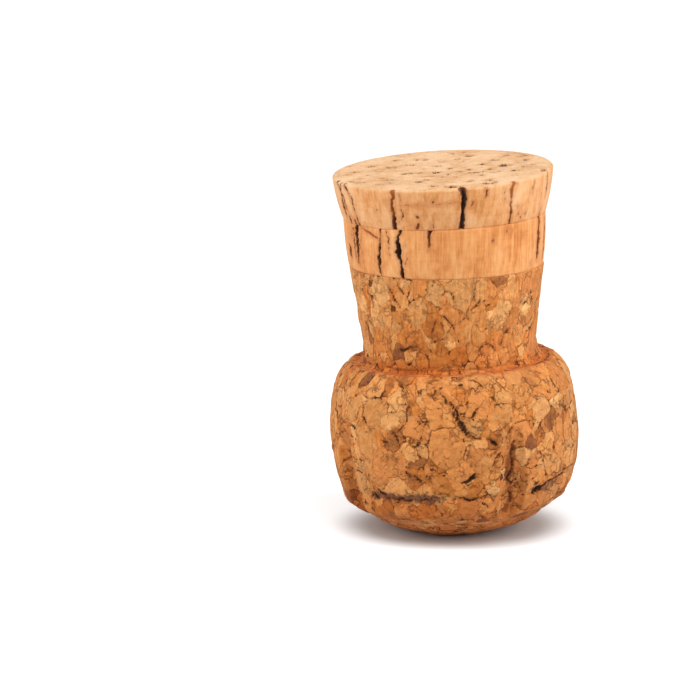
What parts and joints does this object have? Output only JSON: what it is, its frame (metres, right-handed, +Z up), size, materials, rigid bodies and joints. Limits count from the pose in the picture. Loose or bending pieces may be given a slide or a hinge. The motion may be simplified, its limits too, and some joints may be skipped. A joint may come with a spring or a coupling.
{
  "type": "sparkling-wine cork stopper",
  "caption": "Used mushroom-shaped cork stopper with a rounded agglomerated head, a narrow neck and a flared shank that ends in glued natural cork discs.",
  "frame": {"origin": "on the surface the cork stands on, under the middle of its bounding box", "axes": "+Z up from the flat spot under the head to the end disc, +X to the right as seen from the front, +Y to the back"},
  "size_m": [0.0324, 0.0324, 0.048],
  "materials": {
    "agglomerated_cork": "matt cork granules 2 to 6 mm across, bonded with thin dark seams",
    "natural_cork_inner": "matt sawn natural cork, warm tan, with dark upright pores",
    "natural_cork_end": "matt sawn natural cork, pale tan, with dark pores in its end face"
  },
  "bodies": {
    "root": {"agglomerate_body": "agglomerated_cork", "inner_disc": "natural_cork_inner", "end_disc": "natural_cork_end"}
  },
  "joints": []
}
